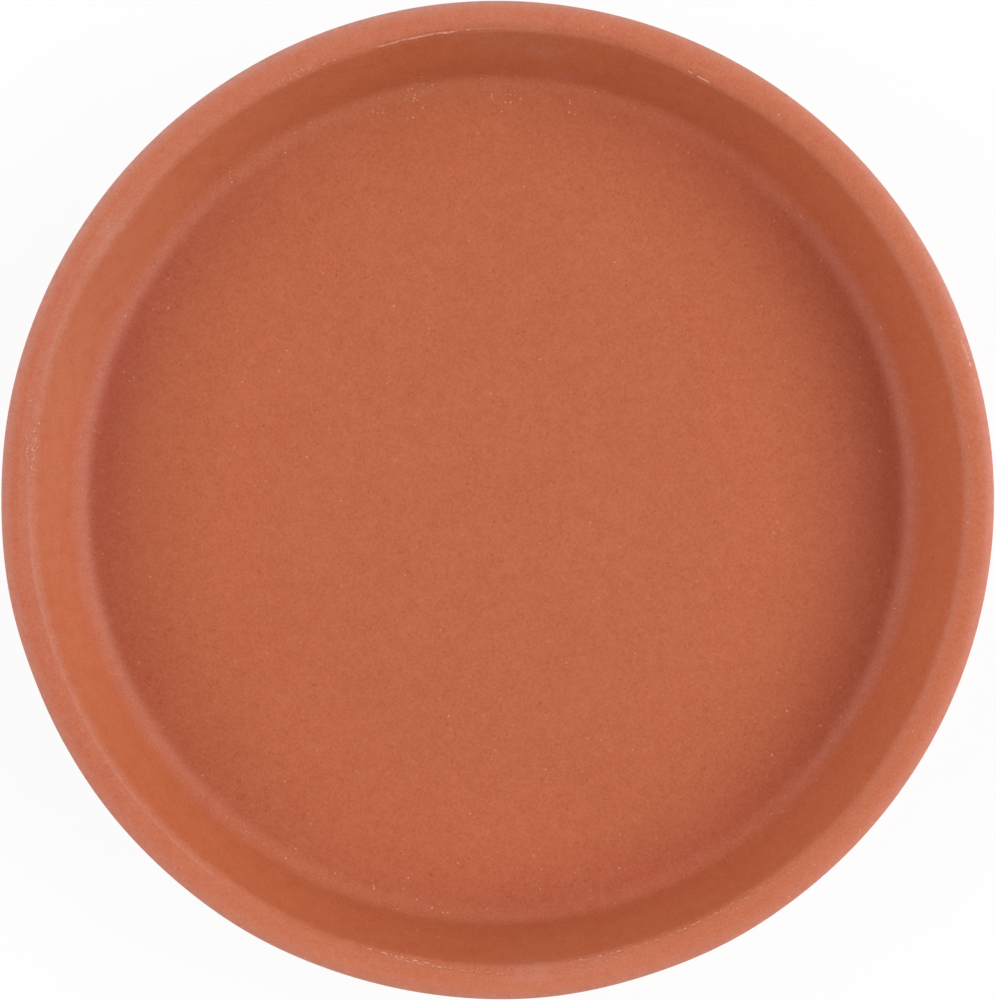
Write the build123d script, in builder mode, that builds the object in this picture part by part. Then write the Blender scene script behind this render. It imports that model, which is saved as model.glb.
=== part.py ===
"""A pressed terracotta plant saucer: one piece of fired clay with a flat floor, a drafted wall and a rounded rim.

Millimetres, +Z up. The origin is the centre of the plane that the saucer stands on.
"""

import os
from math import cos, radians, tan

from build123d import *

# Overall size
rim_diameter = 200.0  # across the widest part of the rim
overall_height = 34.0  # from the standing plane to the top of the rim

# Wall and floor
rim_width = 6.6  # clay between the inside wall and the widest part of the rim
inside_draft = 16.5  # lean of the inside wall from the vertical, in degrees
outside_draft = 16.0  # lean of the outside wall, a little steeper, so the wall thickens downwards
floor_thickness = 8.0  # from the standing plane to the floor that the pot stands on
root_radius = 5.0  # hollow where the floor turns up into the wall

# Rim
rim_inner_radius = 2.6  # inner edge of the rim, wiped round
rim_outer_radius = 1.8  # outer edge of the rim, trimmed a little sharper

# Foot
foot_width = 13.0  # standing ring, before its edges are rounded
foot_recess = 1.5  # how far the middle of the underside is lifted clear of the ground
recess_draft = 55.0  # lean of the recess's side from the vertical, in degrees
foot_bevel = 2.0  # lower outside edge, pared off with a knife while the clay is soft

# Corners of the section, before they are rounded
inner_edge = rim_diameter / 2 - rim_width
floor_edge = inner_edge - (overall_height - floor_thickness) * tan(radians(inside_draft))

# Rounding the leaning wall's top corner moves its widest point inwards, so the corner starts this much further out.
rim_overhang = rim_outer_radius * (tan(radians(outside_draft)) + 1 / cos(radians(outside_draft)) - 1)
outer_edge = rim_diameter / 2 + rim_overhang
foot_outer_edge = outer_edge - overall_height * tan(radians(outside_draft))
foot_inner_edge = foot_outer_edge - foot_width
recess_edge = foot_inner_edge - foot_recess * tan(radians(recess_draft))

os.makedirs("parts", exist_ok=True)

# Saucer: half of its section, turned about the upright axis
with BuildPart() as saucer:
    with BuildSketch(Plane.XZ) as section:
        with BuildLine():
            Polyline(
                (0, foot_recess),
                (0, floor_thickness),
                (floor_edge, floor_thickness),
                (inner_edge, overall_height),
                (outer_edge, overall_height),
                (foot_outer_edge, 0),
                (foot_inner_edge, 0),
                (recess_edge, foot_recess),
                close=True,
            )
        make_face()
        for corner, radius in (
            ((floor_edge, floor_thickness), root_radius),
            ((inner_edge, overall_height), rim_inner_radius),
            ((outer_edge, overall_height), rim_outer_radius),
        ):
            fillet(section.vertices().sort_by_distance(corner)[0], radius)
        chamfer(section.vertices().sort_by_distance((foot_outer_edge, 0))[0], foot_bevel)
    revolve(axis=Axis.Z)

saucer.part.label = "saucer"
export_step(saucer.part, "parts/saucer.step")
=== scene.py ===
"""A terracotta plant saucer, laid out as a Blender add-on: the fired clay body and the studio that shows it.

Metres, +Z up. The origin is the centre of the plane that the saucer stands on. Places round the saucer are in
degrees, anticlockwise from +X as seen from above, and so are their spreads.
"""

from math import cos, pi, radians, sin, tan

import bpy
import numpy as np
from bpy.props import FloatProperty, FloatVectorProperty, PointerProperty
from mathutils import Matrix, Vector


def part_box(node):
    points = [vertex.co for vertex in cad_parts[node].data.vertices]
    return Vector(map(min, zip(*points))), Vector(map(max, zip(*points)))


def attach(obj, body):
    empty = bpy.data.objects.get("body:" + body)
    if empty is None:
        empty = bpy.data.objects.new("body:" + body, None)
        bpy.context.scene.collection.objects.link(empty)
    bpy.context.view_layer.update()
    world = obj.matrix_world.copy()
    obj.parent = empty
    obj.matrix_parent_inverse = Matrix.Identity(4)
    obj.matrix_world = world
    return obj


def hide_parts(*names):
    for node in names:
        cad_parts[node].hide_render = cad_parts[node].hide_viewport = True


bl_info = {
    "name": "Terracotta saucer",
    "version": (1, 0, 0),
    "blender": (4, 5, 0),
    "location": "View3D > Sidebar > Saucer",
    "description": "Presses a terracotta plant saucer and sets up the studio that shows it",
    "category": "Add Mesh",
}

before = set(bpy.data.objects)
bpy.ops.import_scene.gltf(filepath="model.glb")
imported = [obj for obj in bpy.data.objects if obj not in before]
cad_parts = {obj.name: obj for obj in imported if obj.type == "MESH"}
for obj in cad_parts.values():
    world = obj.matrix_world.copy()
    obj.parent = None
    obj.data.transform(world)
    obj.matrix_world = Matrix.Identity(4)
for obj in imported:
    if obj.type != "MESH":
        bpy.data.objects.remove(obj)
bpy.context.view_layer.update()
clay_low, clay_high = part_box("saucer")

MM = 0.001
IMAGE_HEIGHT = 1000

# Where the rim was pushed in or out by handling before it was fired: place, push inwards in mm, spread
RIM_PUSHES = (
    (180, 0.29, 9),
    (201, 0.24, 7),
    (211, 0.10, 6),
    (155, 0.10, 14),
    (15, 0.06, 7),
    (240, -0.19, 8),
    (275, -0.24, 10),
    (298, -0.17, 7),
)
# How much of these pushes the foot of the wall follows, and how much less of them the inner edge follows
FOOT_FOLLOWS = 0.35
INNER_LAG = 0.3
# Where the rim's inner edge alone was wiped further in or out: place, push inwards in mm, spread
EDGE_PUSHES = (
    (181, 0.64, 12),
    (143, 0.66, 9),
    (118, 0.15, 6),
    (63, 0.36, 5),
    (28, 0.26, 13),
    (79, -0.60, 7),
    (93, -0.44, 8),
    (228, -0.14, 10),
    (247, -0.54, 6),
    (273, -0.28, 9),
    (292, -0.14, 7),
    (317, -0.44, 10),
)
# One of the two places, across from each other, where the rim dips
RIM_LOW = 125
# Where the hollow at the foot of the wall was pressed sharper: place, depth in mm, spread
ROOT_PUSHES = (
    (92, 0.45, 28),
    (270, 0.20, 26),
)
ROOT_PUSH_WIDTH = 2.3
# How far up the wall, as a share of it, the floor's broad unevenness fades out
FLOOR_SWAY_END = 0.12
# Lengths in mm of the broad waves in the floor, in the underside and in the dust of the standing ring
FLOOR_WAVE = 70
UNDER_WAVE = 40
RUB_WAVE = 22

# Flash left by the press along the rim's inner edge, with places across the rim in mm from the middle of that
# edge: first and last place round the rim, place across at each, width and height in mm, share broken away
RIM_FLASH = (
    (91.0, 96.5, -0.30, -0.32, 0.24, 0.24, 0.15),
    (95.5, 105.4, -0.32, -0.35, 0.27, 0.38, 0.05),
    (108.0, 112.5, -0.20, -0.30, 0.32, 0.26, 0.45),
    (61.0, 72.0, -0.10, 0.10, 0.32, 0.32, 0.60),
    (172.0, 175.5, 1.90, 1.50, 0.28, 0.42, 0.05),
    (166.0, 179.0, 0.50, 0.85, 0.32, 0.20, 0.75),
    (177.0, 204.0, 1.24, 0.60, 0.66, 0.09, 0.00),
    (204.0, 233.0, 0.60, 0.80, 0.66, 0.08, 0.00),
    (253.5, 263.0, -0.10, 0.30, 0.30, 0.24, 0.35),
    (255.5, 263.5, 0.50, 0.80, 0.28, 0.22, 0.50),
    (262.5, 270.5, 0.65, 1.30, 0.28, 0.30, 0.25),
    (270.5, 285.0, 1.30, 1.20, 0.28, 0.22, 0.40),
    (278.5, 291.0, -0.10, -0.05, 0.28, 0.30, 0.45),
    (291.0, 303.0, -0.05, 0.00, 0.28, 0.32, 0.45),
    (307.0, 322.0, 1.20, 1.15, 0.30, 0.26, 0.75),
    (0.0, 9.0, 1.40, 1.40, 0.30, 0.26, 0.80),
    (142.0, 150.0, 0.70, 1.20, 0.55, 0.055, 0.00),
    (150.0, 166.0, 1.20, 0.70, 0.55, 0.05, 0.00),
)
# How far flash strays from its line in mm, how softly it ends where it is broken, and the groove beside it:
# place in half widths of the flash, depth as a share of its height
FLASH_STRAY = 0.25
FLASH_BREAK = 0.25
GROOVE_PLACE = 1.8
GROOVE_DEPTH = 0.5
# Crumbs that broke off the flash and lie beside it: place round the rim, place across it in mm, spread in
# degrees, width in mm, how thick they lie
RIM_CRUMBS = (
    (115.5, 0.0, 3.5, 1.6, 0.36),
    (174.0, 0.4, 3.5, 1.3, 0.36),
    (259.0, 0.2, 4.5, 1.1, 0.36),
    (63.0, -0.1, 1.6, 0.5, 0.42),
)
# Chips out of the rim's outer edge, with places across the rim in mm from the middle of that edge: first and
# last place round the rim, place across at each, depth in mm, how dusty the break is
RIM_CHIPS = (
    (13.5, 20.8, -0.70, -1.50, 0.24, 1.0),
    (332.4, 333.5, -1.75, -1.70, 0.25, 0.0),
    (118.0, 119.5, -0.60, -0.60, 0.15, 0.6),
    (221.0, 222.0, -0.70, -0.70, 0.18, 0.6),
)
# How far chips stray from their line in mm, how deep their bites are, and how much is left whole between them
CHIP_STRAY = 0.4
CHIP_BITE = 1.8
CHIP_SPARED = 0.4

# The finish and the painted light and shade lie in bands along the edges of the section: the edge, how far
# past its middle and how wide in mm, the strength all round, and what is added to it round the saucer:
# places, amounts, spreads
POLISH_BANDS = (
    ("root", 1.0, 3.2, 1.0, ((55, -0.55, 28), (300, -0.55, 25))),
    ("inner", 0.0, 2.2, 0.6, ((185, -0.30, 45),)),
    ("outer", 0.0, 2.0, 0.75, ()),
)
# Painted sheen and reflection along the edges: pale on the outer edge, faint on the inner edge and in the
# hollow; the wide band makes the rim's outer half paler
EDGE_SHEEN_BANDS = (
    ("outer", 0.0, 1.4, 0.30, ()),
    ("outer", 0.0, 4.5, 0.08, ()),
    ("inner", 0.0, 1.8, 0.03, ()),
    ("root", 0.0, 3.0, 0.02, ()),
)
# Painted sheen high in the hollow on the left, which faces the lamps on the right
HOLLOW_SHEEN_BANDS = (
    ("root", 2.0, 2.0, 0.0, ((188, 0.07, 35),)),
)
# Painted light that lifts the shade on the floor near the foot of the wall: on the right, at the top and on
# the left
SHADE_LIFT_BANDS = (
    ("root", -1.0, 4.5, 0.0, ((0, 0.04, 25),)),
    ("root", -2.0, 5.0, 0.0, ((92, 0.06, 30),)),
    ("root", -14.0, 6.0, 0.0, ((165, 0.08, 25),)),
)
# Painted light on the floor near the foot of the wall at the top
WALL_LIGHT_BANDS = (
    ("root", -2.0, 5.0, 0.0, ((92, 1.0, 30),)),
)
# Painted red shade at the foot of the wall on the right, where it lies in shade
RED_SHADE_BANDS = (
    ("root", -3.0, 6.5, 0.0, ((45, 1.0, 45), (315, 1.0, 45))),
)
# Painted mauve shade and sheen: sheen high in the hollow on the left, shade on the floor near the foot of the
# wall on the left and on the right, and shade along the outer edge
MAUVE_SHADE_AND_SHEEN_BANDS = (
    ("root", 1.5, 2.5, 0.0, ((182, 0.30, 40),)),
    ("root", -4.0, 4.0, 0.0, ((165, 1.0, 32),)),
    ("root", -11.0, 5.0, 0.0, ((0, 0.5, 22),)),
    ("outer", 0.0, 1.3, 0.0, ((10, 0.60, 30), (120, 0.60, 35), (180, 0.36, 25), (300, 0.24, 25))),
)
GRIT_BANDS = (
    ("root", 0.0, 7.0, 0.08, ()),
)
# How strong the salts and painted sheen, the rim's paling, the painted light on the wall and the rim's
# painted red shade are all round, and what is added to them round the saucer: places, amounts, spreads
SHEEN_ROUND = (0.5, ((125, 0.60, 65), (22, 0.35, 25), (115, 0.20, 25)))
RIM_PALING_ROUND = (1.0, ((270, 0.70, 42), (180, -0.50, 42), (345, -0.30, 28), (240, 0.45, 17)))
WALL_LIGHT_ROUND = (0.6, ((190, 0.40, 55), (92, 0.40, 28), (10, -0.45, 50)))
RIM_RED_SHADE_ROUND = (0.33, ((195, 0.40, 40),))
# Where salts bloomed on the clay, and a broad painted sheen on the left wall, which faces the lamps on the
# right: place, height up the inside from floor to rim as a share, spreads, strength
BLOOMS_AND_WALL_SHEEN = (
    (274.0, 0.98, 3.0, 0.12, 0.16),
    (282.0, 0.99, 4.0, 0.07, 0.08),
    (88.0, 0.80, 6.0, 0.30, 0.08),
    (84.0, 0.58, 1.6, 0.10, 0.22),
    (81.0, 0.22, 1.8, 0.10, 0.14),
    (146.0, 0.97, 3.0, 0.10, 0.10),
    (168.0, 0.60, 40.0, 0.60, 0.15),
)
# How much paler the rim gets towards its outer edge, and how far down the outside that reaches, in mm
RIM_PALING = 0.16
RIM_PALING_REACH = 4.0
# How dusty the standing ring is rubbed on average, how far that varies, and how far up it reaches, in mm
RUBBED = 0.28
RUBBED_SWING = 0.15
RUBBED_REACH = 0.5
# How much dust lies on a mm of flash and of chip
FLASH_DUST = 3
CHIP_DUST = 5
# Painted sheen on the beads: how much pale salt colour and mauve tint lies on a mm of bead, and the most of
# each
BEAD_SHEEN = 2.5
BEAD_SHEEN_MOST = 0.22
BEAD_MAUVE_SHEEN = 5
BEAD_MAUVE_SHEEN_MOST = 0.5
# Shares of the wall's height in which blooms and the painted light on the wall set in, pits and flecks end,
# and that painted light ends at the rim
BLOOM_START = 0.1
WALL_LIGHT_START = 0.15
BARE_END = 0.08
WALL_LIGHT_END = 0.1
# Share of the rim's width in which its painted red shade sets in
RIM_RED_SHADE_START = 1 / 3
# How far down the outside pits and flecks set in, in mm, and the most of them there
BARE_START = 8
BARE_MOST = 0.7

# How far the clay's grains swing from its body colour, in red, green and blue: pale ones are greyer too
GRAIN_SWING = (0.276, 0.60, 0.88)
# How far apart in mm the lumps of the clay's noises are
GRAIN_SIZE = 0.42
DUST_SIZE = 0.7
FLECK_SIZE = 1.1
PATCH_SIZE = 2.4
CLOUD_SIZE = 16.0
# How much of a height the noises see, so that their lumps are drawn out up the wall, as the press did
WALL_DRAW = 0.5
# How far the noises move the body between its two tones
GRAIN_TONE = 0.63
PATCH_TONE = 0.22
CLOUD_TONE = 0.10
# Grains in the clay, one in a cell: the cells' spacing and the largest radius in mm, share of cells kept
COARSE_GROG = (2.2, 0.26, 0.65)
FINE_GROG = (1.0, 0.30, 0.012)
PITS = (1.9, 0.25, 0.60)
# How much thicker grog and pits lie in the clouds and grog where it lies open, and how strong the faintest is
GROG_IN_CLOUDS = 0.4
GROG_IN_OPEN = 0.4
PITS_IN_CLOUDS = 0.3
FAINTEST = 0.12
# Heights of the noise between which flecks set in, and thicknesses of dust between which it sets in and shows
FLECK_STEP = (0.13, 0.30)
DUST_START = (0.02, 0.25)
DUST_STEP = (0.35, 0.75)
# How unevenly the noises make salts, painted sheen and dust lie
SALT_AND_SHEEN_BY_GRAIN = 0.8
SALT_AND_SHEEN_BY_PATCH = 1.1
DUST_BY_GRAIN = 1.3
DUST_BY_LUMP = 0.6
# How much rougher pale grains and dust are, and how much more of the closed skin they have
GRAIN_ROUGHNESS = 0.25
DUST_ROUGHNESS = 0.12
GRAIN_SKIN = 1.2
DUST_SKIN = -0.8
# How strongly grains, flecks and dust show
COARSE_SHARE = 0.86
GROG_SHARE = 0.70
PIT_SHARE = 0.40
FLECK_SHARE = 0.42
DUST_SHARE = 0.75
# How high they stand out of the clay in mm, or lie in it
GRAIN_RELIEF = 0.020
PATCH_RELIEF = 0.012
GROG_RELIEF = 0.05
PIT_RELIEF = -0.08
DUST_RELIEF = 0.05
# Where grains of grog lie open on the inside: place in mm, spread in mm, how thick they lie
GRIT_SPOTS = (
    (-17.8, 81.1, 5.0, 0.75),
    (-25.6, 78.6, 3.5, 0.70),
    (-15.0, 84.5, 6.0, 0.50),
    (1.0, 84.0, 9.0, 0.42),
    (15.0, 79.4, 2.0, 0.80),
    (-57.4, 51.6, 3.5, 0.70),
    (-52.7, 65.5, 5.0, 0.55),
    (-44.1, 72.7, 5.0, 0.55),
    (-76.2, 8.5, 3.0, 0.75),
    (-76.6, -2.1, 2.5, 0.65),
    (-16.8, -84.1, 7.0, 0.40),
    (-24.8, -80.0, 6.0, 0.40),
)


class SAUCER_PG_sizes(bpy.types.PropertyGroup):
    """The sizes of the pressed form."""

    rim_diameter: FloatProperty(
        name="Rim diameter",
        description="Across the widest part of the rim",
        default=clay_high.x - clay_low.x,
        unit="LENGTH",
    )
    overall_height: FloatProperty(
        name="Overall height",
        description="From the standing plane to the top of the rim",
        default=clay_high.z - clay_low.z,
        unit="LENGTH",
    )
    rim_width: FloatProperty(
        name="Rim width",
        description="Clay between the inside wall and the widest part of the rim",
        default=6.6 * MM,
        unit="LENGTH",
    )
    inside_draft: FloatProperty(
        name="Inside draft",
        description="Lean of the inside wall from the vertical",
        default=radians(16.5),
        subtype="ANGLE",
    )
    outside_draft: FloatProperty(
        name="Outside draft",
        description="Lean of the outside wall from the vertical",
        default=radians(16),
        subtype="ANGLE",
    )
    floor_thickness: FloatProperty(
        name="Floor thickness",
        description="From the standing plane to the floor that a pot stands on",
        default=8 * MM,
        unit="LENGTH",
    )
    root_radius: FloatProperty(
        name="Root radius",
        description="Hollow where the floor turns up into the wall",
        default=5 * MM,
        unit="LENGTH",
    )
    rim_inner_radius: FloatProperty(
        name="Rim inner radius",
        description="Inner edge of the rim, wiped round",
        default=2.6 * MM,
        unit="LENGTH",
    )
    rim_outer_radius: FloatProperty(
        name="Rim outer radius",
        description="Outer edge of the rim, trimmed a little sharper",
        default=1.8 * MM,
        unit="LENGTH",
    )
    foot_width: FloatProperty(
        name="Foot width",
        description="Standing ring, before its outer edge is pared off",
        default=13 * MM,
        unit="LENGTH",
    )
    foot_recess: FloatProperty(
        name="Foot recess",
        description="How far the middle of the underside is lifted clear of the ground",
        default=1.5 * MM,
        unit="LENGTH",
    )
    recess_draft: FloatProperty(
        name="Recess draft",
        description="Lean of the recess's side from the vertical",
        default=radians(55),
        subtype="ANGLE",
    )
    foot_bevel: FloatProperty(
        name="Foot bevel",
        description="Lower outside edge, pared off with a knife while the clay is soft",
        default=2 * MM,
        unit="LENGTH",
    )
    foot_wear: FloatProperty(
        name="Foot wear",
        description="Radius to which use has worn the edges of the foot",
        default=0.7 * MM,
        unit="LENGTH",
    )


class SAUCER_PG_handling(bpy.types.PropertyGroup):
    """How far pressing, trimming and firing left the form uneven."""

    ovalness: FloatProperty(
        name="Ovalness",
        description="How much nearer to the axis the rim lies along X than along Y",
        default=0.36 * MM,
        unit="LENGTH",
    )
    edge_shift_x: FloatProperty(
        name="Edge shift X",
        description="How far the rim's inner edge lies off the axis, along X",
        default=0.24 * MM,
        unit="LENGTH",
    )
    edge_shift_y: FloatProperty(
        name="Edge shift Y",
        description="How far the rim's inner edge lies off the axis, along Y",
        default=0.32 * MM,
        unit="LENGTH",
    )
    root_shift_x: FloatProperty(
        name="Root shift X",
        description="How far the foot of the inside wall lies off the axis, along X",
        default=-0.22 * MM,
        unit="LENGTH",
    )
    rim_sway: FloatProperty(
        name="Rim sway",
        description="How far the rim dips at its two low places",
        default=0.25 * MM,
        unit="LENGTH",
    )
    rim_crown: FloatProperty(
        name="Rim crown",
        description="How much higher the middle of the rim is than its edges",
        default=0.25 * MM,
        unit="LENGTH",
    )
    floor_sway: FloatProperty(
        name="Floor sway",
        description="Height of the broad unevenness of the floor",
        default=0.08 * MM,
        unit="LENGTH",
    )
    chip_width: FloatProperty(
        name="Chip width",
        description="Width of the chips along the rim's outer edge",
        default=0.5 * MM,
        unit="LENGTH",
    )


class SAUCER_PG_clay(bpy.types.PropertyGroup):
    """The colours and the finish of the fired clay, and the tints of painted light and shade."""

    body_colour: FloatVectorProperty(
        name="Body colour",
        description="The fired clay between its darker and paler grains",
        default=(0.496, 0.1285, 0.0555),
        subtype="COLOR",
        min=0,
        max=1,
    )
    grog_colour: FloatVectorProperty(
        name="Grog colour",
        description="Pale grains of crushed fired clay in the body",
        default=(0.70, 0.38, 0.26),
        subtype="COLOR",
        min=0,
        max=1,
    )
    pit_colour: FloatVectorProperty(
        name="Pit colour",
        description="Open pits and dark flecks",
        default=(0.22, 0.050, 0.022),
        subtype="COLOR",
        min=0,
        max=1,
    )
    # Colour of salt blooms, and of the painted sheen along the edges, on the beads and on the left wall
    bloom_and_sheen_colour: FloatVectorProperty(
        name="Bloom colour",
        description="Salts that dried on the clay's edges",
        default=(0.56, 0.30, 0.245),
        subtype="COLOR",
        min=0,
        max=1,
    )
    # Tint of painted light on the inside wall, strongest on the left, and on the floor near the foot of the
    # wall at the top
    wall_light_tint: FloatVectorProperty(
        name="Flush tint",
        description="How much warmer the wall is, which the fire reached better than the floor",
        default=(1.035, 1.09, 0.97),
        subtype="COLOR",
        min=0,
        max=2,
    )
    # Tint of painted red shade, which damps the lamps' reflection on the rim, most on the left, and reddens
    # the shade at the foot of the right wall
    red_shade_tint: FloatVectorProperty(
        name="Blush tint",
        description="How much redder the clay fired on the rim and along the foot of the wall",
        default=(1.0, 0.90, 0.98),
        subtype="COLOR",
        min=0,
        max=2,
    )
    # Tint of painted shade and sheen: mauve in the hollow's shade and sheen, on the beads and along the outer
    # edge
    mauve_shade_and_sheen_tint: FloatVectorProperty(
        name="Stain tint",
        description="How water coloured the clay where it stood or ran down",
        default=(1.0, 0.955, 1.26),
        subtype="COLOR",
        min=0,
        max=2,
    )
    scuff_colour: FloatVectorProperty(
        name="Scuff colour",
        description="Dust on flash, on chips and where the saucer has rubbed",
        default=(0.70, 0.36, 0.27),
        subtype="COLOR",
        min=0,
        max=1,
    )
    roughness: FloatProperty(
        name="Roughness",
        description="Roughness of the open clay",
        default=0.75,
        subtype="FACTOR",
        min=0,
        max=1,
    )
    reflectance: FloatProperty(
        name="Reflectance",
        description="How strongly the open clay reflects, where 0.5 is glass",
        default=0.3,
        subtype="FACTOR",
        min=0,
        max=1,
    )
    skin_weight: FloatProperty(
        name="Skin",
        description="How much the press and the wiping closed the clay's skin along the edges",
        default=0.52,
        subtype="FACTOR",
        min=0,
        max=1,
    )
    skin_roughness: FloatProperty(
        name="Skin roughness",
        description="Roughness of the closed skin",
        default=0.45,
        subtype="FACTOR",
        min=0,
        max=1,
    )


class SAUCER_PG_studio(bpy.types.PropertyGroup):
    """The camera and the lamps."""

    camera_height: FloatProperty(
        name="Camera height",
        description="From the standing plane to the camera",
        default=1.318,
        unit="LENGTH",
    )
    camera_x: FloatProperty(
        name="Camera X",
        description="How far the camera stands off the axis, along X",
        default=0.21 * MM,
        unit="LENGTH",
    )
    camera_y: FloatProperty(
        name="Camera Y",
        description="How far the camera stands off the axis, along Y",
        default=-0.08 * MM,
        unit="LENGTH",
    )
    outline_radius: FloatProperty(
        name="Outline radius",
        description="Radius of the widest rim in the picture, in pixels",
        default=500.1,
    )
    right_power: FloatProperty(
        name="Right lamp",
        description="Power of the softbox on the right",
        default=37.9,
        unit="POWER",
    )
    left_power: FloatProperty(
        name="Left lamp",
        description="Power of the softbox on the left",
        default=24.7,
        unit="POWER",
    )
    card_power: FloatProperty(
        name="Low card",
        description="Power of the pale card that stands low on the right",
        default=9.9,
        unit="POWER",
    )
    wall_level: FloatProperty(
        name="Wall level",
        description="Light from the pale walls round the stage",
        default=0.76,
    )
    wall_lean: FloatProperty(
        name="Wall lean",
        description="How much brighter the wall on the left is, and how much dimmer the one on the right",
        default=0.50,
    )


class Wire:
    """An output socket in a node tree. Arithmetic on wires adds Math nodes to the tree."""

    def __init__(self, tree, socket=None):
        self.tree = tree
        self.socket = socket

    def node(self, kind, settings=None, inputs=None, output=0):
        """Adds a node, sets its settings, gives its sockets their values or links, and returns one output."""
        node = self.tree.nodes.new(kind)
        for name, value in (settings or {}).items():
            setattr(node, name, value)
        for name, value in (inputs or {}).items():
            socket = next(s for s in node.inputs if name in (s.identifier, s.name))
            if isinstance(value, Wire):
                self.tree.links.new(value.socket, socket)
            else:
                socket.default_value = value
        if isinstance(output, str):
            found = next(s for s in node.outputs if output in (s.identifier, s.name))
        else:
            found = node.outputs[output]
        return Wire(self.tree, found)

    def math(self, operation, first, second, clamp=False):
        """One Math node on wires or plain numbers."""
        settings = {"operation": operation, "use_clamp": clamp}
        return self.node("ShaderNodeMath", settings, {"Value": first, "Value_001": second})

    def __add__(self, other):
        return self.math("ADD", self, other)

    __radd__ = __add__

    def __sub__(self, other):
        return self.math("SUBTRACT", self, other)

    def __rsub__(self, other):
        return self.math("SUBTRACT", other, self)

    def __mul__(self, other):
        return self.math("MULTIPLY", self, other)

    __rmul__ = __mul__

    def step(self, start, end):
        """Rises smoothly from 0 at start to 1 at end; start may be the larger."""
        inputs = {"Value": self, "From Min": start, "From Max": end}
        return self.node("ShaderNodeMapRange", {"interpolation_type": "SMOOTHSTEP"}, inputs)

    def mix(self, first, second, blend="MIX"):
        """A colour between two others, or one tinted by the other, with this wire as the second's share."""
        settings = {"data_type": "RGBA", "blend_type": blend}
        inputs = {"Factor_Float": self, "A_Color": first, "B_Color": (*second, 1)}
        return self.node("ShaderNodeMix", settings, inputs, "Result_Color")


def wrapped(angle, place):
    """How far an angle is from a place in degrees, the short way round."""
    return (angle - radians(place) + pi) % (2 * pi) - pi


def swell(angle, place, spread):
    """A bell curve round the rim: exp(-(a / spread)^2) at the angle a from its place."""
    return np.exp(-((wrapped(angle, place) / radians(spread)) ** 2))


def swells(angle, places):
    """The sum of bell curves round the rim, each with its place, its height and its spread in degrees."""
    return sum(height * swell(angle, place, spread) for place, height, spread in places)


def share_along(angle, first, last):
    """0 up to the first of two places round the rim, 1 from the last one on, and even steps between them."""
    return np.clip(wrapped(angle, (first + last) / 2) / radians(last - first) + 0.5, 0, 1)


def stretch(angle, first, last, soft=0.6):
    """1 between two places round the rim and 0 elsewhere, with ends that fade over about soft degrees."""
    off = np.abs(wrapped(angle, (first + last) / 2)) - radians(last - first) / 2
    return 1 / (1 + np.exp(np.clip(off / radians(soft / 4), -60, 60)))


def ragged(angle, steps, seed):
    """Random heights from 0 to 1 at even steps round the rim, joined by straight lines."""
    heights = np.random.default_rng(seed).uniform(0, 1, steps)
    return np.interp(angle / (2 * pi) * steps, np.arange(steps + 1), np.append(heights, heights[0]))


def ripple(x, y, wavelength, seed, waves=16):
    """Broad unevenness from about -1 to 1: the sum of sine waves that run in random directions.

    They are 0.7 to 1.6 times as long as the wavelength.
    """
    draw = np.random.default_rng(seed)
    total = 0
    for heading, phase, share in zip(*draw.uniform(0, 1, (3, waves))):
        length = wavelength * (0.7 + 0.9 * share)
        along = x * cos(2 * pi * heading) + y * sin(2 * pi * heading)
        total = total + np.sin(2 * pi * (along / length + phase))
    return total / np.sqrt(2 * waves)


def section_corners(sizes):
    """Corners of the half section from the middle of the floor over the rim to the middle of the underside.

    Each is its distance from the axis, its height and the radius that rounds it. The rim's outer corner
    starts further out, because rounding a leaning wall's corner moves its widest point inwards. The foot's
    bevel takes the same length off the wall and off the ground.
    """
    top = sizes.overall_height
    floor = sizes.floor_thickness
    recess = sizes.foot_recess
    inner_edge = sizes.rim_diameter / 2 - sizes.rim_width
    floor_edge = inner_edge - (top - floor) * tan(sizes.inside_draft)
    lean = tan(sizes.outside_draft) + 1 / cos(sizes.outside_draft) - 1
    outer_edge = sizes.rim_diameter / 2 + sizes.rim_outer_radius * lean
    foot_outer_edge = outer_edge - top * tan(sizes.outside_draft)
    bevel = sizes.foot_bevel
    bevel_edge = foot_outer_edge + bevel * sin(sizes.outside_draft)
    bevel_top = bevel * cos(sizes.outside_draft)
    foot_inner_edge = foot_outer_edge - sizes.foot_width
    recess_edge = foot_inner_edge - recess * tan(sizes.recess_draft)
    return np.array([
        (0, floor, 0),
        (floor_edge, floor, sizes.root_radius),
        (inner_edge, top, sizes.rim_inner_radius),
        (outer_edge, top, sizes.rim_outer_radius),
        (bevel_edge, bevel_top, sizes.foot_wear),
        (foot_outer_edge - bevel, 0, sizes.foot_wear),
        (foot_inner_edge, 0, sizes.foot_wear),
        (recess_edge, recess, sizes.foot_wear),
        (0, recess, 0),
    ])


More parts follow.
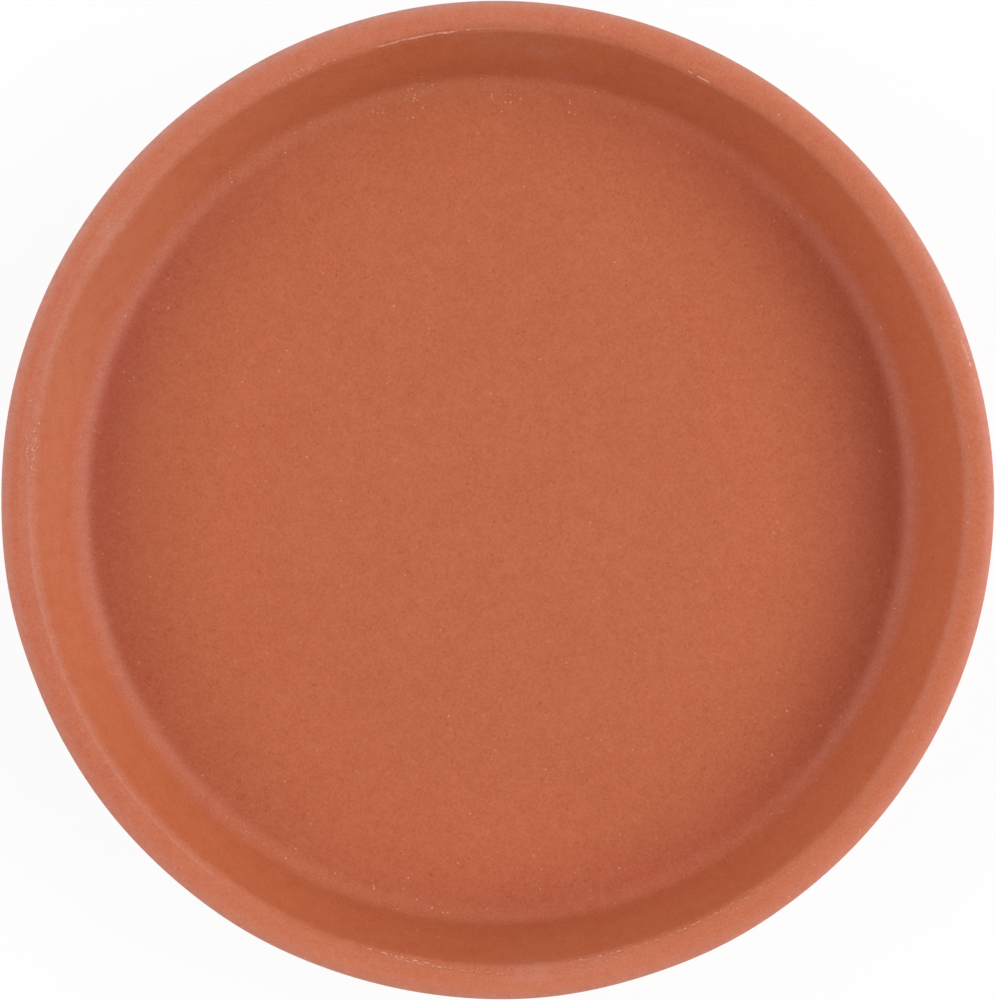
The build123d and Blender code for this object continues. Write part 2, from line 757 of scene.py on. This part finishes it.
def rounded_section(corners, run_steps, arc_steps):
    """Straight runs between the corners, with each corner rounded by an arc that is tangent to both runs.

    A corner of radius q that turns by t takes q tan(t / 2) off each run. Its arc lies at distance q from a
    centre, on the side that it turns to, and its normal swings evenly from one run's to the next one's.
    Returns the stations' places and outward normals, as (distance from the axis, height), how far along the
    section each station is, and how far along the middle of each arc is.
    """
    places = corners[:, :2]
    runs = np.diff(places, axis=0)
    lengths = np.hypot(runs[:, 0], runs[:, 1])
    headings = np.arctan2(runs[:, 1], runs[:, 0])
    turns = (np.diff(headings) + pi) % (2 * pi) - pi
    radii = corners[1:-1, 2]
    taken = np.concatenate([[0], radii * np.tan(np.abs(turns) / 2), [0]])
    points = []
    normals = []
    for run, steps in enumerate(run_steps):
        along = np.array([cos(headings[run]), sin(headings[run])])
        square = np.array([-along[1], along[0]])
        start = places[run] + along * taken[run]
        length = lengths[run] - taken[run] - taken[run + 1]
        share = np.arange(steps)[:, None] / steps
        points.append(start + along * length * share)
        normals.append(np.repeat(square[None, :], steps, axis=0))
        if run < len(turns):
            side = np.sign(turns[run])
            swing = headings[run] + pi / 2 + turns[run] * np.arange(arc_steps[run]) / arc_steps[run]
            swung = np.column_stack([np.cos(swing), np.sin(swing)])
            centre = start + along * length + side * radii[run] * square
            points.append(centre - side * radii[run] * swung)
            normals.append(swung)
    points.append(places[-1:])
    normals.append(normals[-1][-1:])
    straight = lengths - taken[:-1] - taken[1:]
    round_lengths = radii * np.abs(turns)
    middles = np.cumsum(straight[:-1]) + np.cumsum(round_lengths) - round_lengths / 2
    points = np.concatenate(points)
    gone = np.concatenate([[0], np.cumsum(np.hypot(*np.diff(points, axis=0).T))])
    return points, np.concatenate(normals), gone, middles


def sector_angles(sectors, crowding):
    """Angles round the axis, crowded together by this factor where the rim has flash or chips."""
    fine = np.linspace(0, 2 * pi, 7201)
    worn = [stretch(fine, first, last, soft=3) for first, last, *_ in (*RIM_FLASH, *RIM_CHIPS)]
    density = 1 + (crowding - 1) * np.max(worn, axis=0)
    count = np.concatenate([[0], np.cumsum((density[1:] + density[:-1]) / 2)])
    return np.interp(np.arange(sectors) / sectors, count / count[-1], fine)


class TurnedForm:
    """The section turned about the upright axis, with a row for each station and a column for each sector.

    Its arrays hold one row or one column, and spread over the other when they meet. An edge is the middle of
    the arc that rounds a corner, and what lies along the section is measured from it.
    """

    edge_names = ("root", "inner", "outer", "foot")

    def __init__(self, sizes, run_steps, arc_steps, angle):
        section = rounded_section(section_corners(sizes), run_steps, arc_steps)
        points, normals, gone, middles = section
        self.r = points[:, :1]
        self.z = points[:, 1:]
        self.normal_r = normals[:, :1]
        self.normal_z = normals[:, 1:]
        self.gone = gone[:, None]
        self.angle = angle[None, :]
        self.edges = dict(zip(self.edge_names, middles))
        rim_middle = (self.edges["inner"] + self.edges["outer"]) / 2
        depth = sizes.overall_height - sizes.floor_thickness
        self.inside = self.gone < rim_middle
        self.climb = np.where(self.inside, np.clip((self.z - sizes.floor_thickness) / depth, 0, 1), 0)
        self.across = np.clip((self.gone - rim_middle) / (self.edges["outer"] - rim_middle), -1, 1)

    def past(self, edge):
        """How far past an edge each station is, in mm along the section."""
        return (self.gone - self.edges[edge]) / MM

    def near(self, edge, width, offset=0):
        """A bell curve along the section, exp(-(d / width)^2) at d mm from a line this far past an edge."""
        return np.exp(-(((self.past(edge) - offset) / width) ** 2))

    def round_about(self, level, places):
        """A level all round with bell curves added to it at places round the saucer."""
        return level + swells(self.angle, places)

    def bands(self, table):
        """The sum of bands along edges: bell curves along the section times their levels round the saucer."""
        parts = (
            self.near(edge, width, offset) * self.round_about(level, places)
            for edge, offset, width, level, places in table
        )
        return sum(parts)

    def one_per_vertex(self, grid):
        """A grid's rings in order, with only one vertex at each end, as the faces number them."""
        grid = np.broadcast_to(grid, (len(self.r), self.angle.size))
        return np.concatenate([grid[0, :1], grid[1:-1].ravel(), grid[-1, :1]])


def rim_flash(form):
    """Heights in mm of the flash on the rim's inner edge and of its unbroken beads, and depths of its groove.

    Each length of flash is a bell curve across a line that strays a little, and a shallower bell curve beside
    it is the groove. The crest is ragged, and is gone where random heights stay below the share broken away.
    """
    angle = form.angle
    flash = 0
    bead = 0
    groove = 0
    stray = FLASH_STRAY * (ragged(angle, steps=240, seed=5) - 0.5)
    for number, (first, last, start, end, width, rise, broken) in enumerate(RIM_FLASH):
        line = start + (end - start) * share_along(angle, first, last) + stray
        whole = np.clip((ragged(angle, steps=1500, seed=20 + number) - broken) / FLASH_BREAK + 0.5, 0, 1)
        crest = 0.5 + 0.5 * ragged(angle, steps=2200, seed=40 + number)
        ridge = stretch(angle, first, last) * whole * crest * rise
        half = width / 2
        raised = ridge * form.near("inner", half, line)
        flash = flash + raised
        bead = bead + (broken == 0) * raised
        groove = groove + GROOVE_DEPTH * ridge * form.near("inner", half, line + GROOVE_PLACE * half)
    return flash, bead, groove


def rim_crumbs(form):
    """How thick crumbs lie beside the flash: bell curves round the rim times bell curves across it."""
    piles = (
        amount * swell(form.angle, place, spread) * form.near("inner", width, line)
        for place, line, spread, width, amount in RIM_CRUMBS
    )
    return sum(piles)


def rim_chips(form, chip_width):
    """Depths in mm of the chips along the rim's outer edge, and the dust on their breaks.

    Each chip is a bell curve across a line that strays a little, and its bites are ragged along that line.
    """
    angle = form.angle
    chip = 0
    chip_dust = 0
    stray = CHIP_STRAY * (ragged(angle, steps=160, seed=6) - 0.5)
    for number, (first, last, start, end, depth, dusty) in enumerate(RIM_CHIPS):
        line = start + (end - start) * share_along(angle, first, last) + stray
        bite = np.clip(CHIP_BITE * ragged(angle, steps=900, seed=60 + number) - CHIP_SPARED, 0, 1)
        cut = stretch(angle, first, last) * bite * depth * form.near("outer", chip_width / MM / 2, line)
        chip = chip + cut
        chip_dust = chip_dust + dusty * cut
    return chip, chip_dust


def handled_places(form, sizes, handling, raised):
    """Where handling left the turned form's vertices: x, y and height.

    A vertex starts at (r cos a, r sin a, z). The whole wall follows the rim's pushes and ovalness in
    proportion to its height, always inwards from the turned form. The inner edge is shifted sideways, the rim
    dips in two places, and what is raised, in mm, moves along the normals. Sine waves make the floor and the
    underside uneven.
    """
    angle = form.angle
    outness = form.r / (sizes.rim_diameter / 2)
    height_share = form.z / sizes.overall_height
    inner_share = np.where(form.past("inner") < 0, form.climb, 0.5 - 0.5 * form.across)
    push = handling.ovalness * np.cos(angle) ** 2 + MM * swells(angle, RIM_PUSHES)
    push = push - push.min()
    wall_follows = FOOT_FOLLOWS + (1 - FOOT_FOLLOWS) * height_share
    follow = outness * wall_follows * (1 - INNER_LAG * inner_share)
    radius = form.r - push * follow - MM * swells(angle, EDGE_PUSHES) * inner_share**2
    dip = handling.rim_sway * np.cos(angle - radians(RIM_LOW)) ** 2
    dome = handling.rim_crown * (0.5 - 0.5 * np.cos(pi * form.across))
    level = form.z - (dip + dome) * height_share**2
    lift = MM * (raised - swells(angle, ROOT_PUSHES) * form.near("root", ROOT_PUSH_WIDTH))
    radius = radius + form.normal_r * lift
    level = level + form.normal_z * lift
    root_share = np.where(form.inside, 1 - form.climb, 0) * np.clip(outness, 0, 1)
    x = radius * np.cos(angle) + handling.edge_shift_x * inner_share + handling.root_shift_x * root_share
    y = radius * np.sin(angle) + handling.edge_shift_y * inner_share
    flat = np.clip(1 - form.climb / FLOOR_SWAY_END, 0, 1) * form.inside
    level = level + flat * handling.floor_sway * ripple(x, y, FLOOR_WAVE * MM, seed=11)
    under = np.clip(form.z / sizes.foot_recess, 0, 1) * (form.past("foot") > 0)
    level = level + under * handling.floor_sway * (1 + ripple(x, y, UNDER_WAVE * MM, seed=12))
    return x, y, np.clip(level, 0, sizes.overall_height)


def salts_and_sheen_left(form, bead):
    """How thick salt and painted sheen lie: painted sheen along the edges, high in the hollow on the left and
    on beads, and salt in blooms, one of which is a broad painted sheen on the left wall.

    A bloom is a bell curve round the saucer times one up the wall.
    """
    climb = form.climb
    # Painted sheen along the edges, high in the hollow on the left and on the beads
    salts_and_sheen = form.bands(EDGE_SHEEN_BANDS) * form.round_about(*SHEEN_ROUND)
    salts_and_sheen = salts_and_sheen + form.bands(HOLLOW_SHEEN_BANDS) + np.clip(BEAD_SHEEN * bead, 0, BEAD_SHEEN_MOST)
    for place, share, spread, height, strength in BLOOMS_AND_WALL_SHEEN:
        high = np.exp(-(((climb - share) / height) ** 2)) * np.clip(climb / BLOOM_START, 0, 1)
        salts_and_sheen = salts_and_sheen + strength * swell(form.angle, place, spread) * high
    return salts_and_sheen


def clay_finish(form, x, y, flash, bead, chip_dust):
    """What the material reads at each vertex, from 0 to 1, by name.

    polish is how far the skin is closed. The others say how thick salt, dust and grit lie, where the salt
    also carries painted sheen along the edges and on the beads; how much paler the clay is over the rim from
    its inner edge outwards, together with painted light that lifts the shade on the floor near the foot of
    the wall; how far painted light shows on the inside wall, painted red shade on the rim and at the foot of
    the right wall, and a mauve painted shade and sheen; and, as bare, where the open clay shows pits and
    flecks: on the floor, on the outside and beneath.
    """
    climb = form.climb
    bare_inside = np.clip(1 - climb / BARE_END, 0, 1)
    bare_outside = np.clip(form.past("outer") / BARE_START, 0, BARE_MOST)
    rim_share = form.past("inner") * MM / (form.edges["outer"] - form.edges["inner"])
    paling_below = form.near("outer", RIM_PALING_REACH)
    outward = np.where(form.past("outer") < 0, np.clip(rim_share, 0, 1), paling_below)
    on_wall = np.clip(climb / WALL_LIGHT_START, 0, 1) * np.clip((1 - climb) / WALL_LIGHT_END, 0, 1)
    on_rim = np.clip(outward / RIM_RED_SHADE_START, 0, 1)
    on_ground = np.exp(-((form.z / (RUBBED_REACH * MM)) ** 2)) * (form.past("foot") > 0)
    rubbed = (RUBBED + RUBBED_SWING * ripple(x, y, RUB_WAVE * MM, seed=13)) * on_ground
    loose = FLASH_DUST * flash + CHIP_DUST * chip_dust
    values = {
        "polish": form.bands(POLISH_BANDS),
        # Salt, with painted sheen along the edges and on the beads
        "salts_and_sheen": salts_and_sheen_left(form, bead),
        "dust": np.clip(loose, 0, 1) + rim_crumbs(form) + rubbed,
        # Paler over the rim towards its outer edge, and painted light that lifts the shade on the floor near
        # the wall
        "wear": RIM_PALING * outward * form.round_about(*RIM_PALING_ROUND) + form.bands(SHADE_LIFT_BANDS),
        # Painted light on the inside wall and near its foot at the top
        "wall": on_wall * form.round_about(*WALL_LIGHT_ROUND) + form.bands(WALL_LIGHT_BANDS),
        # Painted red shade on the rim and at the foot of the right wall
        "painted_red_shade": on_rim * form.round_about(*RIM_RED_SHADE_ROUND) + form.bands(RED_SHADE_BANDS),
        # Mauve tint of painted shade and sheen
        "mauve_shade_and_sheen": form.bands(MAUVE_SHADE_AND_SHEEN_BANDS) + np.clip(BEAD_MAUVE_SHEEN * bead, 0, BEAD_MAUVE_SHEEN_MOST),
        "grit": form.bands(GRIT_BANDS),
        "bare": np.where(form.inside, bare_inside, bare_outside),
    }
    return {name: np.clip(value, 0, 1) for name, value in values.items()}


def turned_faces(stations, sectors):
    """Corner numbers of the faces of a form that is turned about the axis and closed by a point at each end.

    Station 0 and the last station are one vertex each. Between them, ring i has its vertices at
    1 + i * sectors + j, and each quad joins sectors j and j + 1 of two neighbouring rings.
    """
    rings = stations - 2
    here = np.arange(sectors)
    beside = (here + 1) % sectors
    last = 1 + rings * sectors
    first_ring = 1 + here
    last_ring = 1 + (rings - 1) * sectors + here
    start = np.column_stack([np.zeros_like(here), first_ring, 1 + beside])
    end = np.column_stack([last_ring, np.full_like(here, last), 1 + (rings - 1) * sectors + beside])
    base = 1 + np.arange(rings - 1)[:, None] * sectors
    quads = np.stack([base + here, base + sectors + here, base + sectors + beside, base + beside], axis=-1)
    return start, quads.reshape(-1, 4), end


def mesh_from_arrays(name, points, triangles, quads):
    """A smooth mesh from arrays of places and of corner numbers."""
    mesh = bpy.data.meshes.new(name)
    corners = np.concatenate([triangles.ravel(), quads.ravel()])
    counts = np.concatenate([np.full(len(triangles), 3), np.full(len(quads), 4)])
    starts = np.concatenate([[0], np.cumsum(counts)[:-1]])
    mesh.vertices.add(len(points))
    mesh.vertices.foreach_set("co", points.astype(np.float32).ravel())
    mesh.loops.add(len(corners))
    mesh.loops.foreach_set("vertex_index", corners.astype(np.int32))
    mesh.polygons.add(len(counts))
    mesh.polygons.foreach_set("loop_start", starts.astype(np.int32))
    mesh.polygons.foreach_set("use_smooth", np.ones(len(counts), bool))
    mesh.update(calc_edges=True)
    mesh.validate()
    return mesh


def add_point_values(mesh, name, values):
    """Stores one number for each vertex, which the material reads by this name."""
    attribute = mesh.attributes.new(name, "FLOAT", "POINT")
    attribute.data.foreach_set("value", values.astype(np.float32).ravel())


class ClayPatterns:
    """The patterns that the clay is made of, as wires: noises, scattered grains and values on the mesh."""

    def __init__(self, tree):
        self.wire = Wire(tree)
        self.place = self.wire.node("ShaderNodeTexCoord", output="Object")
        self.drawn = self.scaled((1, 1, WALL_DRAW))
        self.plan = self.scaled((1, 1, 0))

    def attribute(self, name):
        """A value that the mesh carries."""
        return self.wire.node("ShaderNodeAttribute", {"attribute_name": name}, output="Fac")

    def scaled(self, vector):
        """The place with each of its axes scaled by the vector's."""
        inputs = {"Vector": self.place, "Vector_001": vector}
        return self.wire.node("ShaderNodeVectorMath", {"operation": "MULTIPLY"}, inputs)

    def noise(self, size, detail=2.0, roughness=0.5):
        """Noise about 0, whose lumps are about this many millimetres apart and drawn out up the wall."""
        inputs = {"Vector": self.drawn, "Scale": 1 / (size * MM), "Detail": detail, "Roughness": roughness}
        return self.wire.node("ShaderNodeTexNoise", inputs=inputs) - 0.5

    def grains(self, spacing, radius, kept, crowd):
        """Spheres of up to this radius in cells of this spacing, both in mm, most of them faint.

        A cell has its sphere if its luck and the crowd reach past the share that isn't kept. A sphere's
        strength grows with the cube of its power and the crowd together.
        """
        inputs = {"Vector": self.place, "Scale": 1 / (spacing * MM)}
        cell = self.wire.node("ShaderNodeTexVoronoi", inputs=inputs)
        colours = Wire(cell.tree, cell.socket.node.outputs["Color"])
        luck = self.wire.node("ShaderNodeSeparateColor", inputs={"Color": colours}, output="Red")
        power = self.wire.node("ShaderNodeSeparateColor", inputs={"Color": colours}, output="Green")
        reach = radius / spacing
        there = (luck + crowd).step(1 - kept, 1.02 - kept)
        strong = power.math("ADD", power, crowd, clamp=True)
        return cell.step(reach, reach * 0.5) * there * (FAINTEST + (1 - FAINTEST) * strong * strong * strong)

    def spot(self, x, y, spread):
        """1 at a point in plan, falling to 0 at this distance from it, all in mm."""
        inputs = {"Vector": self.plan, "Vector_001": (x * MM, y * MM, 0)}
        distance = self.wire.node("ShaderNodeVectorMath", {"operation": "DISTANCE"}, inputs, "Value")
        return (distance * (1 / MM)).step(spread, 0)


def fired_clay(clay):
    """Unglazed fired clay: a grainy body with pale grog, dark pits and flecks, with painted light, shade and
    sheen.

    The body's colour swings between a darker and a paler tone with three noises, of the grain, of patches a
    few grains wide and of broad clouds. A value on the mesh makes it paler over the rim and adds painted
    light on the floor near the foot of the wall. Tints multiply it: painted light on the wall, painted red
    shade on the rim and at the foot of the right wall, and a mauve painted shade and sheen. Salts with
    painted sheen, grog, pits, flecks and dust are mixed in over that. Grog and pits are the insides of small
    spheres scattered in the clay, one in each Voronoi cell, and flecks are the peaks of a noise. The values
    that the mesh carries say where each of them shows.
    """
    material = bpy.data.materials.new("fired_terracotta")
    material.use_nodes = True
    tree = material.node_tree
    shader = tree.nodes["Principled BSDF"]
    patterns = ClayPatterns(tree)
    dust = patterns.attribute("dust")
    bare = patterns.attribute("bare")
    grain = patterns.noise(GRAIN_SIZE, 1.5, 0.55)
    patches = patterns.noise(PATCH_SIZE, 3.0)
    clouds = patterns.noise(CLOUD_SIZE)

    spots = [amount * patterns.spot(x, y, spread) for x, y, spread, amount in GRIT_SPOTS]
    crowd = sum(spots, patterns.attribute("grit"))
    coarse_crowd = GROG_IN_CLOUDS * clouds + GROG_IN_OPEN * crowd
    coarse = COARSE_SHARE * patterns.grains(*COARSE_GROG, coarse_crowd)
    grog = coarse.math("MAXIMUM", coarse, patterns.grains(*FINE_GROG, crowd))
    pits = bare * patterns.grains(*PITS, PITS_IN_CLOUDS * clouds)
    flecks = bare * patterns.noise(FLECK_SIZE, 2.0, 0.6).step(*FLECK_STEP)
    salt_and_sheen = patterns.attribute("salts_and_sheen") * (1 + SALT_AND_SHEEN_BY_PATCH * patches + SALT_AND_SHEEN_BY_GRAIN * grain)
    uneven_dust = dust + DUST_BY_GRAIN * grain + DUST_BY_LUMP * patterns.noise(DUST_SIZE)
    dusty = uneven_dust.step(*DUST_STEP) * dust.step(*DUST_START)

    deep = [part * (1 - swing) for part, swing in zip(clay.body_colour, GRAIN_SWING)]
    pale = [part * (1 + swing) for part, swing in zip(clay.body_colour, GRAIN_SWING)]
    tone = 0.5 + GRAIN_TONE * grain + PATCH_TONE * patches + CLOUD_TONE * clouds + patterns.attribute("wear")
    colour = tone.mix((*deep, 1), pale)
    # Painted light on the inside wall
    colour = patterns.attribute("wall").mix(colour, clay.wall_light_tint, "MULTIPLY")
    # Painted red shade on the rim and at the foot of the right wall
    colour = patterns.attribute("painted_red_shade").mix(colour, clay.red_shade_tint, "MULTIPLY")
    # Mauve tint of painted shade and sheen
    colour = patterns.attribute("mauve_shade_and_sheen").mix(colour, clay.mauve_shade_and_sheen_tint, "MULTIPLY")
    # Salt blooms, and painted sheen along the edges, on the beads and on the left wall
    colour = salt_and_sheen.mix(colour, clay.bloom_and_sheen_colour)
    colour = (GROG_SHARE * grog).mix(colour, clay.grog_colour)
    colour = (PIT_SHARE * pits + FLECK_SHARE * flecks).mix(colour, clay.pit_colour)
    colour = (DUST_SHARE * dusty).mix(colour, clay.scuff_colour)

    roughness = clay.roughness + GRAIN_ROUGHNESS * grain + DUST_ROUGHNESS * dusty
    skin = patterns.attribute("polish") * clay.skin_weight
    skin = skin * (1 + GRAIN_SKIN * grain + DUST_SKIN * dusty)
    height = GRAIN_RELIEF * grain + PATCH_RELIEF * patches + GROG_RELIEF * grog
    height = height + PIT_RELIEF * pits + DUST_RELIEF * dusty
    normal = height.node("ShaderNodeBump", inputs={"Strength": 1, "Distance": MM, "Height": height})
    tree.links.new(colour.socket, shader.inputs["Base Color"])
    tree.links.new(roughness.socket, shader.inputs["Roughness"])
    tree.links.new(skin.socket, shader.inputs["Coat Weight"])
    tree.links.new(normal.socket, shader.inputs["Normal"])
    shader.inputs["Specular IOR Level"].default_value = clay.reflectance
    shader.inputs["Coat Roughness"].default_value = clay.skin_roughness
    return material


class SAUCER_OT_press_body(bpy.types.Operator):
    """Press the saucer: its section turned about the upright axis, then handled, trimmed and fired"""

    bl_idname = "saucer.press_body"
    bl_label = "Press saucer"

    run_steps = (9, 10, 7, 6, 2, 2, 1, 4)
    arc_steps = (9, 26, 9, 2, 2, 2, 2)
    sectors = 1060
    crowding = 3.2

    def execute(self, context):
        scene = context.scene
        sizes = scene.saucer_sizes
        handling = scene.saucer_handling
        angle = sector_angles(self.sectors, self.crowding)
        form = TurnedForm(sizes, self.run_steps, self.arc_steps, angle)
        flash, bead, groove = rim_flash(form)
        chip, chip_dust = rim_chips(form, handling.chip_width)
        x, y, z = handled_places(form, sizes, handling, flash - groove - chip)
        points = np.stack([form.one_per_vertex(grid) for grid in (x, y, z)], axis=-1)
        start, quads, end = turned_faces(len(form.r), self.sectors)
        mesh = mesh_from_arrays("saucer_body", points, np.concatenate([start, end]), quads)
        for name, grid in clay_finish(form, x, y, flash, bead, chip_dust).items():
            add_point_values(mesh, name, form.one_per_vertex(grid))
        mesh.materials.append(fired_clay(scene.saucer_clay))
        body = bpy.data.objects.new("saucer_body", mesh)
        scene.collection.objects.link(body)
        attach(body, "root")
        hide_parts("saucer")
        return {"FINISHED"}


class SAUCER_OT_set_stage(bpy.types.Operator):
    """Set up the floor, the lamps and the camera"""

    bl_idname = "saucer.set_stage"
    bl_label = "Set stage"

    sensor_width = 36
    lamp_distance = 2.0
    lamp_long = 2.6
    lamp_short = 0.95
    card_short = 0.36
    lamp_elevation = 47
    card_elevation = 13
    right_azimuth = 4
    left_azimuth = 175
    wall_top = 36
    wall_full = 20
    floor_span = 12.0
    floor_colour = (0.93, 0.93, 0.93, 1)
    floor_roughness = 0.9
    floor_plain = 0.92

    def execute(self, context):
        scene = context.scene
        studio = scene.saucer_studio
        scene.view_settings.view_transform = "Standard"
        self.add_camera(scene, scene.saucer_sizes, studio)
        high = (self.lamp_elevation, self.lamp_short)
        low = (self.card_elevation, self.card_short)
        self.add_softbox(scene, "right_softbox", self.right_azimuth, *high, studio.right_power)
        self.add_softbox(scene, "left_softbox", self.left_azimuth, *high, studio.left_power)
        self.add_softbox(scene, "low_card", self.right_azimuth, *low, studio.card_power)
        self.add_walls(scene, studio)
        self.add_floor(scene)
        return {"FINISHED"}

    def add_camera(self, scene, sizes, studio):
        """A long lens straight above, which shows the rim at its size in the picture."""
        rim_level = sizes.overall_height - sizes.rim_outer_radius
        distance = studio.camera_height - rim_level
        rim_radius = sizes.rim_diameter / 2
        rim_on_sensor = studio.outline_radius / IMAGE_HEIGHT * self.sensor_width
        camera_data = bpy.data.cameras.new("camera")
        camera_data.sensor_width = self.sensor_width
        camera_data.lens = rim_on_sensor * distance / rim_radius
        camera = bpy.data.objects.new("camera", camera_data)
        camera.location = (studio.camera_x, studio.camera_y, studio.camera_height)
        scene.collection.objects.link(camera)
        scene.camera = camera

    def add_softbox(self, scene, name, azimuth, elevation, short, power):
        """A long softbox that faces the saucer from one side."""
        lamp = bpy.data.lights.new(name, "AREA")
        lamp.shape = "RECTANGLE"
        lamp.size = self.lamp_long
        lamp.size_y = short
        lamp.energy = power
        softbox = bpy.data.objects.new(name, lamp)
        turn = radians(azimuth)
        lift = radians(elevation)
        towards = Vector((cos(lift) * cos(turn), cos(lift) * sin(turn), sin(lift)))
        softbox.location = towards * self.lamp_distance
        softbox.rotation_euler = towards.to_track_quat("Z", "Y").to_euler()
        softbox.visible_camera = False
        scene.collection.objects.link(softbox)

    def add_walls(self, scene, studio):
        """Pale walls round the stage, brighter on the left, which give light from near the horizon only.

        Their light fades out between two elevations, and falls evenly from the left wall to the right one.
        """
        world = bpy.data.worlds.new("studio")
        world.use_nodes = True
        tree = world.node_tree
        wire = Wire(tree)
        towards = wire.node("ShaderNodeTexCoord", output="Generated")
        right = wire.node("ShaderNodeSeparateXYZ", inputs={"Vector": towards}, output="X")
        up = wire.node("ShaderNodeSeparateXYZ", inputs={"Vector": towards}, output="Z")
        low = up.step(sin(radians(self.wall_top)), sin(radians(self.wall_full)))
        level = low * (studio.wall_level - studio.wall_lean * right)
        tree.links.new(level.socket, tree.nodes["Background"].inputs["Strength"])
        tree.nodes["Background"].inputs["Color"].default_value = (1, 1, 1, 1)
        scene.world = world

    def add_floor(self, scene):
        """A white table. What the camera sees of it is mostly plain white; the rest is lit and shadowed."""
        half = self.floor_span / 2
        spots = np.array([(-half, -half, 0), (half, -half, 0), (half, half, 0), (-half, half, 0)])
        mesh = mesh_from_arrays("floor", spots, np.empty((0, 3), int), np.array([[0, 1, 2, 3]]))
        material = bpy.data.materials.new("white_table")
        material.use_nodes = True
        tree = material.node_tree
        wire = Wire(tree)
        shader = tree.nodes["Principled BSDF"]
        shader.inputs["Base Color"].default_value = self.floor_colour
        shader.inputs["Roughness"].default_value = self.floor_roughness
        lit = Wire(tree, shader.outputs["BSDF"])
        white = wire.node("ShaderNodeEmission", inputs={"Color": (1, 1, 1, 1), "Strength": 1})
        straight = wire.node("ShaderNodeLightPath", output="Is Camera Ray")
        mirrored = wire.node("ShaderNodeLightPath", output="Is Glossy Ray")
        through = wire.node("ShaderNodeLightPath", output="Is Transmission Ray")
        plain = self.floor_plain * (straight + mirrored + through)
        mixed = wire.node("ShaderNodeMixShader", inputs={"Fac": plain, "Shader": lit, "Shader_001": white})
        tree.links.new(mixed.socket, tree.nodes["Material Output"].inputs["Surface"])
        mesh.materials.append(material)
        floor = bpy.data.objects.new("floor", mesh)
        scene.collection.objects.link(floor)


class SAUCER_PT_sidebar(bpy.types.Panel):
    """The saucer's settings and steps"""

    bl_idname = "SAUCER_PT_sidebar"
    bl_label = "Terracotta saucer"
    bl_space_type = "VIEW_3D"
    bl_region_type = "UI"
    bl_category = "Saucer"

    def draw(self, context):
        column = self.layout.column()
        scene = context.scene
        for group in (scene.saucer_sizes, scene.saucer_handling, scene.saucer_clay, scene.saucer_studio):
            for name in group.bl_rna.properties.keys():
                if name not in ("rna_type", "name"):
                    column.prop(group, name)
        column.operator(SAUCER_OT_press_body.bl_idname)
        column.operator(SAUCER_OT_set_stage.bl_idname)


GROUPS = {
    "saucer_sizes": SAUCER_PG_sizes,
    "saucer_handling": SAUCER_PG_handling,
    "saucer_clay": SAUCER_PG_clay,
    "saucer_studio": SAUCER_PG_studio,
}
CLASSES = (
    *GROUPS.values(),
    SAUCER_OT_press_body,
    SAUCER_OT_set_stage,
    SAUCER_PT_sidebar,
)


def register():
    for cls in CLASSES:
        bpy.utils.register_class(cls)
    for name, group in GROUPS.items():
        setattr(bpy.types.Scene, name, PointerProperty(type=group))


def unregister():
    for name in GROUPS:
        delattr(bpy.types.Scene, name)
    for cls in reversed(CLASSES):
        bpy.utils.unregister_class(cls)


def main():
    register()
    bpy.ops.saucer.press_body()
    bpy.ops.saucer.set_stage()


if __name__ == "__main__":
    main()
